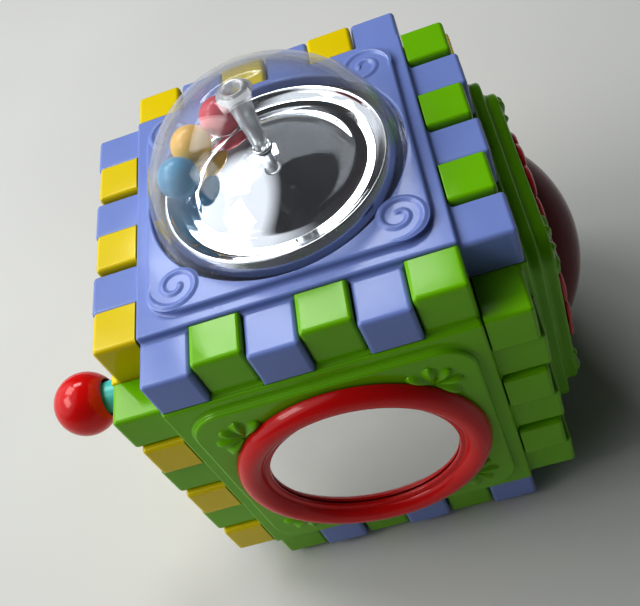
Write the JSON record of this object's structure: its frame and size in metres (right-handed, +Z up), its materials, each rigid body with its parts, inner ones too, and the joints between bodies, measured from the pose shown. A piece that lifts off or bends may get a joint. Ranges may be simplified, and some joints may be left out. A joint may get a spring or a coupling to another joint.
{
  "type": "baby activity cube",
  "caption": "Cube of interlocking plastic panels with a toy on each face: a clear dome of loose balls, a ringed mirror, a crank with a ball knob, a lit push button and a roller.",
  "frame": {"origin": "middle of the bottom panel's flat plate, which the cube stands on", "axes": "+Z up through the dome, -Y out of the front face with the mirror, +X to the right as seen from the front, out of the light button's face"},
  "size_m": [0.2341, 0.1751, 0.1989],
  "materials": {
    "blue_plastic": "glossy moulded",
    "green_plastic": "glossy moulded",
    "yellow_plastic": "glossy moulded",
    "red_plastic": "glossy moulded",
    "teal_plastic": "glossy moulded",
    "ball_blue_plastic": "glossy",
    "ball_yellow_plastic": "glossy",
    "lens_red": "translucent gloss",
    "clear_plastic": "clear polished",
    "led_lens": "diffused",
    "mirror_finish": "vacuum plated",
    "mirror_sheet": "mirror",
    "grey_plastic": "matte moulded",
    "black_plastic": "satin moulded",
    "steel": "zinc plated",
    "board_green": "solder mask",
    "battery_jacket": "satin"
  },
  "bodies": {
    "case": {"top_panel": "blue_plastic", "bottom_panel": "blue_plastic", "front_panel": "green_plastic", "right_panel": "green_plastic", "left_panel": "yellow_plastic", "back_panel": "yellow_plastic", "inner_frame": "grey_plastic", "dome_cover": "clear_plastic", "mirror_tray": "mirror_finish", "pillar_screw": "steel", "dome_retainer": "grey_plastic", "retainer_screw_1": "steel", "retainer_screw_2": "steel", "mirror_ring": "red_plastic", "mirror": "mirror_sheet", "mirror_backing": "black_plastic", "mirror_screw_1": "steel", "mirror_screw_2": "steel", "mirror_screw_3": "steel", "flower_bezel": "red_plastic", "button_base": "grey_plastic", "button_base_screw_1": "steel", "button_base_screw_2": "steel", "led_board": "board_green", "led_1": "led_lens", "led_2": "led_lens", "button_switch": "black_plastic", "button_spring": "steel", "click_spring": "steel", "roller_cradle": "grey_plastic", "cradle_screw_1": "steel", "cradle_screw_2": "steel", "case_screw_1": "steel", "case_screw_2": "steel", "case_screw_3": "steel", "case_screw_4": "steel", "battery_box": "black_plastic", "battery_1": "battery_jacket", "battery_2": "battery_jacket", "battery_3": "battery_jacket", "battery_contact_left": "steel", "battery_contact_right": "steel", "speaker": "black_plastic", "circuit_board": "board_green", "sound_chip": "black_plastic"},
    "blue_ball": {"blue_ball": "ball_blue_plastic"},
    "yellow_ball": {"yellow_ball": "ball_yellow_plastic"},
    "red_ball": {"red_ball": "red_plastic"},
    "crank": {"crank": "teal_plastic", "click_wheel": "black_plastic", "crank_screw": "steel"},
    "knob": {"crank_knob": "red_plastic"},
    "light_button": {"light_button": "lens_red"},
    "roller": {"roller_drum": "red_plastic", "roller_axle": "steel"},
    "switch_slider": {"power_switch": "black_plastic"},
    "battery_door": {"battery_door": "blue_plastic", "door_screw": "steel"}
  },
  "joints": [
    {"name": "blue_ball_orbit", "type": "hinge", "parent": "case", "child": "blue_ball", "pos_m": [0, 0, 0.16618], "axis": [0, 0, 1], "continuous": true},
    {"name": "yellow_ball_orbit", "type": "hinge", "parent": "case", "child": "yellow_ball", "pos_m": [0, 0, 0.16618], "axis": [0, 0, 1], "continuous": true},
    {"name": "red_ball_orbit", "type": "hinge", "parent": "case", "child": "red_ball", "pos_m": [0, 0, 0.16618], "axis": [0, 0, 1], "continuous": true},
    {"name": "crank_turn", "type": "hinge", "parent": "case", "child": "crank", "pos_m": [-0.07923, 0, 0.07923], "axis": [-1, 0, 0], "continuous": true},
    {"name": "knob_spin", "type": "hinge", "parent": "crank", "child": "knob", "pos_m": [-0.11742, -0.0209, 0.08303], "axis": [-1, 0, 0], "continuous": true},
    {"name": "button_press", "type": "slide", "parent": "case", "child": "light_button", "axis": [-1, 0, 0], "range_m": [0, 0.004], "stiffness_N_per_m": 400, "springref_m": -0.002, "deforming": ["button_spring"]},
    {"name": "roller_spin", "type": "hinge", "parent": "case", "child": "roller", "pos_m": [0, 0.066, 0.07923], "axis": [1, 0, 0], "continuous": true},
    {"name": "switch_slide", "type": "slide", "parent": "case", "child": "switch_slider", "axis": [0, 1, 0], "range_m": [-0.0034, 0.0034]},
    {"name": "door_lift_off", "type": "slide", "parent": "case", "child": "battery_door", "axis": [0, 0, -1], "range_m": [0, 0.02]}
  ],
  "couplings": [
    {"joint": "yellow_ball_orbit", "follows": "blue_ball_orbit", "ratio": 1},
    {"joint": "red_ball_orbit", "follows": "blue_ball_orbit", "ratio": 1}
  ]
}
